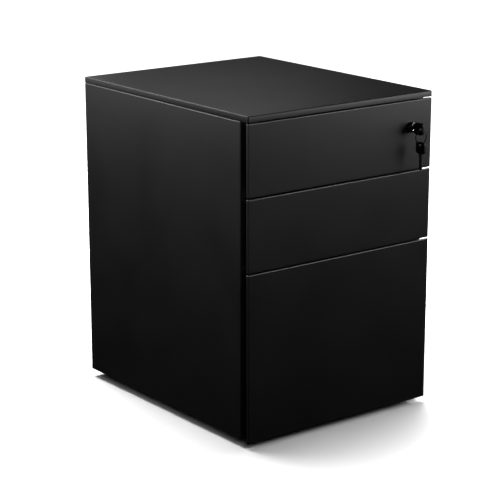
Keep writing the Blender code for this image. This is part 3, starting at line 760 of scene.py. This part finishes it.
def slide_holes(low, high):
    """Cutters for the holes along a slide member's web."""
    z = (low.z + high.z) / 2
    x = (low.x + high.x) / 2
    bm = bmesh.new()
    for step in range(6):
        y = low.y + 0.020 + step * (high.y - low.y - 0.040) / 5
        place = Matrix.Translation((x, y, z)) @ Matrix.Rotation(math.radians(90), 4, "Y")
        append(bm, cylinder_bmesh(0.0028, 0.030, place, 24))
    return mesh_from(bm, "slide_holes")


def build_file_rails():
    """The two folder rails of the deep drawer, with rounded top edges."""
    for side_name in SIDES:
        node = f"drawer_3_file_rail_{side_name}"
        low, high = box_of(node)
        bm = box_bmesh(low, high)
        round_edges(bm, 0.0008, 3)
        mesh = mesh_from(bm, node)
        smooth(mesh)
        add_piece(f"folder_rail_{side_name}", mesh, "drawer_3", "zinc_steel", (node,))


def build_drawers():
    """Every drawer with its slides."""
    for number in DRAWERS:
        for sheet in (build_front(number), build_inner_front(number)):
            if number == 1:
                cut(sheet, lock_hole())
            finish_sheet(sheet)
        build_box(number)
        for side_name in SIDES:
            for member in ("outer", "middle", "inner"):
                build_slide_member(number, side_name, member)
    build_file_rails()


# The lock and the keys


def lock_place():
    """Where the lock's axis meets the front's face."""
    low, high = box_of("lock_housing")
    return Vector(((low.x + high.x) / 2, box_of("drawer_1_front")[0].y, (low.z + high.z) / 2))


def lock_hole():
    """The cutter for the barrel's hole through the sheets."""
    centre = lock_place()
    place = Matrix.Translation(centre + Vector((0, 0.012, 0))) @ TO_XZ
    return mesh_from(cylinder_bmesh(0.0083, 0.040, place, 48), "lock_hole")


def build_housing():
    """The housing: a domed rosette with a polished rim, and a threaded barrel behind the sheet."""
    centre = lock_place()
    profile = [(0.0058, 0.0072), (0.0064, 0.0080), (0.0072, 0.0080)]
    profile += [
        (0.0072 + 0.0022 * math.sin(t), 0.0058 + 0.0022 * math.cos(t)) for t in quarter_turn(6)
    ]
    profile += [(0.0096, 0.0040), (0.0100, 0.0034), (0.0100, 0.0004), (0.0098, 0.0002)]
    profile += [(0.0080, 0.0002)]
    thread_pitch = 0.0010
    for turn in range(20):
        depth = 0.001 + turn * thread_pitch
        profile += [(0.0080, -depth), (0.0076, -depth - thread_pitch / 2)]
    profile += [(0.0080, -0.0220), (0.0080, -0.0240), (0.0076, -0.0246), (0.0058, -0.0246)]
    profile += [(0.0058, 0.0072)]
    mesh = turned_mesh("lock_body", profile)
    mesh.transform(Matrix.Translation(centre) @ TO_XZ)
    return add_piece("lock_body", mesh, "drawer_1", "lock_black_nickel", ("lock_housing",))


def quarter_turn(steps):
    """Angles from just past 0 to 90 degrees, in radians."""
    return [math.radians(90 * step / steps) for step in range(1, steps + 1)]


def build_plug():
    """The plug with a dished face, its keyway and the stub behind for the cam."""
    centre = lock_place()
    low, high = box_of("lock_plug")
    back = centre.y - high.y
    profile = [(0.0, 0.0066), (0.0040, 0.0068), (0.0050, 0.0074), (0.0055, 0.0070)]
    profile += [(0.0055, -0.0246), (0.0032, -0.0246), (0.0032, back + 0.0004), (0.0028, back)]
    profile += [(0.0, back)]
    mesh = turned_mesh("plug_core", profile)
    mesh.transform(Matrix.Translation(centre) @ TO_XZ)
    plug = add_piece("plug_core", mesh, "lock_plug", "key_steel", ("lock_plug",))
    half_width = 0.00140
    half_height = 0.0041
    slot_low = centre + Vector((-half_width, -0.020, -half_height))
    slot_high = centre + Vector((half_width, 0.0193, half_height))
    cut(plug, box_mesh("keyway", slot_low, slot_high))
    smooth(plug.data, 30)
    return plug


def key_head_mesh(name):
    """The moulded head: a soft-cornered block with a hole for the ring."""
    low = (KEY_HOLE_OFFSET - KEY_HEAD_LENGTH / 2, -KEY_HEAD_HEIGHT / 2)
    high = (KEY_HOLE_OFFSET + KEY_HEAD_LENGTH / 2, KEY_HEAD_HEIGHT / 2)
    outline = rounded_rectangle(low, high, 0.0062, 12)
    hole = circle((0.0, 0.0), KEY_HOLE_RADIUS, 32)
    return flat_mesh(name, [outline, hole], KEY_HEAD_THICKNESS, 0.0007)


def key_blade_outline():
    """The blade from inside the head to its tip, with the bitting along one edge."""
    start = KEY_HOLE_OFFSET + KEY_HEAD_LENGTH / 2 - 0.003
    outline = [(start, -KEY_BLADE_HALF), (KEY_BLADE_END - 0.0025, -KEY_BLADE_HALF)]
    outline += [(KEY_BLADE_END, -KEY_BLADE_HALF * 0.35), (KEY_BLADE_END, KEY_BLADE_HALF * 0.35)]
    depths = (0.0010, 0.0018, 0.0006, 0.0014, 0.0020)
    pitch = 0.0042
    x = KEY_BLADE_END - 0.0022
    outline.append((x, KEY_BLADE_HALF))
    for depth in depths:
        outline.append((x - pitch * 0.30, KEY_BLADE_HALF - depth))
        outline.append((x - pitch * 0.60, KEY_BLADE_HALF - depth))
        outline.append((x - pitch, KEY_BLADE_HALF - 0.0003))
        x -= pitch
    outline.append((x - 0.002, KEY_BLADE_HALF))
    outline.append((start, KEY_BLADE_HALF))
    return outline


def key_blade_mesh(name):
    """The blade before its grooves are milled."""
    return flat_mesh(name, [key_blade_outline()], 0.0020, 0.0002)


def build_key(node, place):
    """A key's head and grooved blade, put in place of the CAD key."""
    head_mesh = key_head_mesh(node + "_head")
    blade_mesh = key_blade_mesh(node + "_blade")
    blade_mesh.transform(place)
    blade = add_piece(node + "_blade", blade_mesh, node, "key_steel", (node,))
    groove_start = KEY_HOLE_OFFSET + KEY_HEAD_LENGTH / 2 + 0.001
    bm = bmesh.new()
    for side in (-1, 1):
        groove_low = (groove_start, -0.0014, side * 0.0013 - 0.0007)
        add_box(bm, groove_low, (KEY_BLADE_END + 0.001, 0.0002, side * 0.0013 + 0.0007))
    groove = mesh_from(bm, "groove")
    groove.transform(place)
    cut(blade, groove)
    head_mesh.transform(place)
    head = add_piece(node + "_head", head_mesh, node, "black_plastic", (node,))
    smooth(head.data, 35)
    return head


def build_ring():
    """The split ring: two turns of spring wire side by side."""
    low, high = box_of("key_ring")
    centre = (low + high) / 2
    wire = 0.00062
    radius = (high.x - low.x) / 2 - wire
    turns = 2
    points_a_turn = 64
    curve = bpy.data.curves.new("split_ring", "CURVE")
    curve.dimensions = "3D"
    curve.bevel_depth = wire
    curve.bevel_resolution = 4
    curve.use_fill_caps = True
    spline = curve.splines.new("POLY")
    count = turns * points_a_turn
    spline.points.add(count)
    for index, point in enumerate(spline.points):
        share = index / count
        angle = math.radians(20) + share * turns * 2 * math.pi
        y = (share - 0.5) * wire * 2.1
        point.co = (
            centre.x + radius * math.cos(angle), centre.y + y, centre.z + radius * math.sin(angle), 1.0
        )
    ring = bpy.data.objects.new("split_ring", curve)
    bpy.context.scene.collection.objects.link(ring)
    curve.materials.append(MATERIALS["lock_black_nickel"])
    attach(ring, "key_ring")
    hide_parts("key_ring")
    return ring


def build_lock():
    """The lock with both keys and the ring."""
    build_housing()
    build_plug()
    ring_y = middle_of("key_ring").y
    centre = lock_place()
    build_key("key_in_lock", Matrix.Translation((centre.x, ring_y, centre.z)) @ TO_YZ)
    hole_z = box_of("key_spare")[1].z - (KEY_HEAD_LENGTH / 2 - KEY_HOLE_OFFSET)
    hang = Matrix.Rotation(math.radians(-90), 4, "X")
    build_key("key_spare", Matrix.Translation((centre.x, ring_y, hole_z)) @ hang @ TO_YZ)
    build_ring()


# The casters


def build_wheels(name):
    """A caster's two wheels with round shoulders, a hub dish on each outer face and their axle."""
    node = f"caster_{name}_wheels"
    low, high = box_of(node)
    centre = (low + high) / 2
    radius = (high.z - low.z) / 2
    outer = (high.x - low.x) / 2
    inner = 0.005
    shoulder = 0.0018
    profile = [(0.0, outer - 0.0010), (0.0045, outer - 0.0010), (0.0055, outer - 0.0022)]
    profile += [(0.0130, outer - 0.0022), (0.0142, outer - 0.0006), (0.0150, outer)]
    profile += [(radius - shoulder, outer)]
    profile += [
        (radius - shoulder + shoulder * math.sin(t), outer - shoulder + shoulder * math.cos(t))
        for t in quarter_turn(5)
    ]
    profile += [
        (radius - shoulder + shoulder * math.cos(t), inner + shoulder - shoulder * math.sin(t))
        for t in [0.0] + quarter_turn(5)
    ]
    profile += [(0.003, inner)]
    profile += [(r, -z) for r, z in reversed(profile)]
    mesh = turned_mesh(node, profile)
    mesh.transform(Matrix.Translation(centre) @ Matrix.Rotation(math.radians(90), 4, "Y"))
    return add_piece(f"wheels_{name}", mesh, node, "wheel_tread", (node,))


def build_casters():
    """The wheels, and the four bolts of each caster's plate."""
    for name in CASTERS:
        build_wheels(name)
        low, high = box_of(f"caster_{name}_plate")
        inset = 0.007
        for index, (x, y) in enumerate((
            (low.x + inset, low.y + inset), (high.x - inset, low.y + inset),
            (low.x + inset, high.y - inset), (high.x - inset, high.y - inset),
        )):
            place = Vector((x, y, high.z - 0.0025))
            screw_head(f"caster_screw_{name}_{index + 1}", place, (0, 0, -1), 0.0035, "cabinet")


def finish_cad_nodes():
    """Puts the right material on every CAD node that still shows."""
    slots = {part["node"]: part["material_slot"] for part in frame["record"]["subparts"]}
    for name, node in frame["nodes"].items():
        material = MATERIALS.get(slots[name], MATERIALS["lock_black_nickel"])
        node.data.materials.clear()
        node.data.materials.append(material)


# The studio


def build_camera():
    """The camera, three quarters from the left and a little above."""
    front_low = box_of("drawer_3_front")[0]
    camera_data = bpy.data.cameras.new("camera")
    camera_data.sensor_width = SENSOR_WIDTH
    camera_data.lens = CAMERA_LENS
    camera_data.clip_start = 0.05
    camera_data.clip_end = 200.0
    camera = bpy.data.objects.new("camera", camera_data)
    bpy.context.scene.collection.objects.link(camera)
    camera.location = front_low + CAMERA_FROM_CORNER
    camera.rotation_euler = (math.radians(90 - CAMERA_PITCH), 0.0, math.radians(-CAMERA_AZIMUTH))
    bpy.context.scene.camera = camera


def softbox(name, place, target, width, height, power):
    """A soft rectangular light that faces a point."""
    data = bpy.data.lights.new(name, "AREA")
    data.shape = "RECTANGLE"
    data.size = width
    data.size_y = height
    data.energy = power
    light = bpy.data.objects.new(name, data)
    bpy.context.scene.collection.objects.link(light)
    light.location = place
    aim = Vector(target) - Vector(place)
    light.rotation_euler = aim.to_track_quat("-Z", "Y").to_euler()
    light.visible_camera = False
    return light


def around(azimuth, distance, height):
    """A place round the cabinet. Azimuth 0 is in front of it and 90 on its right."""
    angle = math.radians(azimuth)
    return (distance * math.sin(angle), -distance * math.cos(angle), height)


STRIP_SIZE = (1.0, 0.35)
# Strips mostly just above the top, so that the upright faces darken downwards: azimuth in degrees,
# distance and height in metres, power in watts
STRIPS = (
    ("front_right_near", 60.0, 0.8, 0.62, 1.35),
    ("front_near", 37.5, 0.8, 0.70, 0.6),
    ("front_right_far", 60.0, 1.2, 0.70, 0.45),
    ("left_near", 247.5, 0.8, 0.62, 0.75),
    ("left_back_near", 200.0, 0.8, 0.70, 0.65),
    ("left_far", 247.5, 1.2, 0.70, 0.3),
    ("back_far", 157.5, 1.2, 1.50, 2.6),
)
# Small boxes higher up that draw the bright lines along the folds
FOLD_LIGHTS = (
    ("front_fold_light", 34.0, 1.57, 1.03, 7.0),
    ("left_fold_light", 222.7, 1.56, 0.98, 7.0),
)
# Low strips for the upright edges of the top
EDGE_STRIPS = (
    ("front_edge_strip", 37.5, 1.3),
    ("left_edge_strip", 217.5, 0.35),
)
# Strips whose shine is seen only from the other corners of the cabinet
FAR_CORNER_STRIPS = (
    ("front_left_strip", 315.0, 1.1, 0.68, 1.5),
    ("back_right_strip", 135.0, 1.1, 0.68, 6.0),
)


def shine_only_on(light, pieces):
    """Keeps a light's rays for the given pieces."""
    lit = bpy.data.collections.new(f"lit_by_{light.name}")
    for piece in pieces:
        lit.objects.link(piece)
    light.light_linking.receiver_collection = lit


def upright_sheets():
    """The big upright panels: the wrap, the fronts and the trays behind them."""
    names = ["carcase_wrap"]
    names += [f"{part}_{number}" for part in ("front_pan", "inner_tray") for number in DRAWERS]
    return [bpy.data.objects[name] for name in names]


def light_cabinet():
    """Strips for the faces, small boxes for the folds and the lock, and strips for the far corners."""
    for name, azimuth, distance, height, power in STRIPS:
        softbox(name, around(azimuth, distance, height), (0.0, 0.0, 0.3), *STRIP_SIZE, power)
    ridge_light = softbox("ridge_light", around(199.0, 1.6, 1.7), (0.0, 0.0, 0.5), 0.5, 0.5, 8.0)
    ridge_light.visible_diffuse = False
    for name, azimuth, distance, height, power in FOLD_LIGHTS:
        light = softbox(name, around(azimuth, distance, height), (0.0, 0.0, 0.5), 0.5, 0.5, power)
        light.visible_diffuse = False
        shine_only_on(light, upright_sheets())
    for name, azimuth, power in EDGE_STRIPS:
        light = softbox(name, around(azimuth, 1.2, 0.42), (0.0, 0.0, 0.55), 1.0, 0.2, power)
        shine_only_on(light, [bpy.data.objects["top_tray"]])
    lock_light = softbox("lock_light", around(52.0, 1.2, 1.10), lock_place(), 0.5, 0.5, 20.0)
    metal = [bpy.data.objects[name] for name in ("lock_body", "plug_core", "split_ring")]
    shine_only_on(lock_light, metal)
    for name, azimuth, distance, height, power in FAR_CORNER_STRIPS:
        light = softbox(name, around(azimuth, distance, height), (0.0, 0.0, 0.3), *STRIP_SIZE, power)
        light.visible_diffuse = False
        shine_only_on(light, upright_sheets())


def light_floor(floor):
    """An overhead light that draws the shadow, and a weak one in front that softens it."""
    overhead = softbox("floor_light", (0.3, 0.7, 2.2), (0.1, 0.3, 0.0), 1.8, 1.8, 205.0)
    shine_only_on(overhead, [floor])
    fill = softbox("floor_fill", (-0.5, -1.6, 1.2), (0.0, -0.3, 0.0), 1.0, 1.0, 9.0)
    shine_only_on(fill, [floor])


def build_world():
    """A dim studio for light and reflections, and white behind everything for the eye."""
    world = bpy.data.worlds.new("studio")
    bpy.context.scene.world = world
    world.use_nodes = True
    nodes = world.node_tree.nodes
    links = world.node_tree.links
    background = nodes["Background"]
    background.inputs["Color"].default_value = (1.0, 1.0, 1.0, 1.0)
    path = nodes.new("ShaderNodeLightPath")
    strength = nodes.new("ShaderNodeMapRange")
    strength.inputs["To Min"].default_value = 0.004
    strength.inputs["To Max"].default_value = 1.0
    links.new(path.outputs["Is Camera Ray"], strength.inputs["Value"])
    links.new(strength.outputs["Result"], background.inputs["Strength"])


def build_floor():
    """A plain pale floor that catches the shadow."""
    bm = bmesh.new()
    bmesh.ops.create_grid(bm, x_segments=1, y_segments=1, size=30.0)
    floor = bpy.data.objects.new("floor", mesh_from(bm, "floor"))
    bpy.context.scene.collection.objects.link(floor)
    floor.data.materials.append(floor_material())
    floor.visible_glossy = False
    floor.visible_diffuse = False
    return floor


def floor_material():
    """Pale and matt near the cabinet, and glowing white further out so that no horizon shows."""
    material, nodes, links, shader = new_material("floor")
    shader.inputs["Base Color"].default_value = (0.9, 0.9, 0.9, 1.0)
    shader.inputs["Roughness"].default_value = 0.9
    shader.inputs["Specular IOR Level"].default_value = 0.2
    coordinate = nodes.new("ShaderNodeTexCoord")
    distance = nodes.new("ShaderNodeVectorMath")
    distance.operation = "LENGTH"
    links.new(coordinate.outputs["Object"], distance.inputs[0])
    glow = nodes.new("ShaderNodeMapRange")
    glow.inputs["From Min"].default_value = 0.5
    glow.inputs["From Max"].default_value = 1.2
    glow.inputs["To Max"].default_value = 1.0
    links.new(distance.outputs["Value"], glow.inputs["Value"])
    shader.inputs["Emission Color"].default_value = (1.0, 1.0, 1.0, 1.0)
    links.new(glow.outputs["Result"], shader.inputs["Emission Strength"])
    return material


build_camera()
build_top()
build_wrap()
build_posts()
build_counterweight()
build_drawers()
build_lock()
build_casters()
finish_cad_nodes()
build_world()
light_cabinet()
light_floor(build_floor())
bpy.context.scene.view_settings.view_transform = "Standard"
